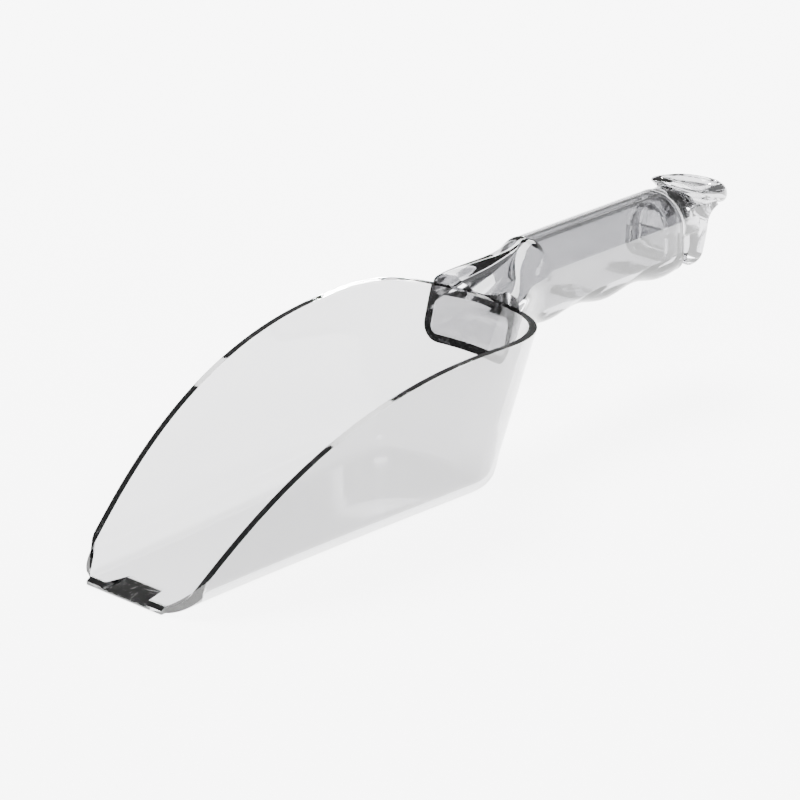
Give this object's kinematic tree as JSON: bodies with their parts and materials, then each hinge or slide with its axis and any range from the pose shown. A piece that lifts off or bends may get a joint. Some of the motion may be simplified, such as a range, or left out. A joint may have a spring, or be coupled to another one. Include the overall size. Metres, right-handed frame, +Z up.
{
  "type": "ice scoop",
  "caption": "Clear plastic ice scoop: tapering trough bowl with chisel lip, hollow grip with thumb dish and finger scallops, end cap with hand stop and hanging hook.",
  "frame": {"origin": "centre of the bounding box in plan, on the plane of the bowl's flat base", "axes": "+Y from the lip towards the hand stop, +Z up from the base, +X across the scoop"},
  "size_m": [0.0762, 0.2834, 0.0666],
  "materials": {
    "clear_bowl": "clear moulded polycarbonate, polished, faint scoop scratches",
    "clear_handle": "clear moulded polycarbonate, polished, handling haze",
    "clear_end_cap": "clear moulded polycarbonate, polished"
  },
  "bodies": {
    "root": {"bowl": "clear_bowl", "handle": "clear_handle", "end_cap": "clear_end_cap"}
  },
  "joints": []
}
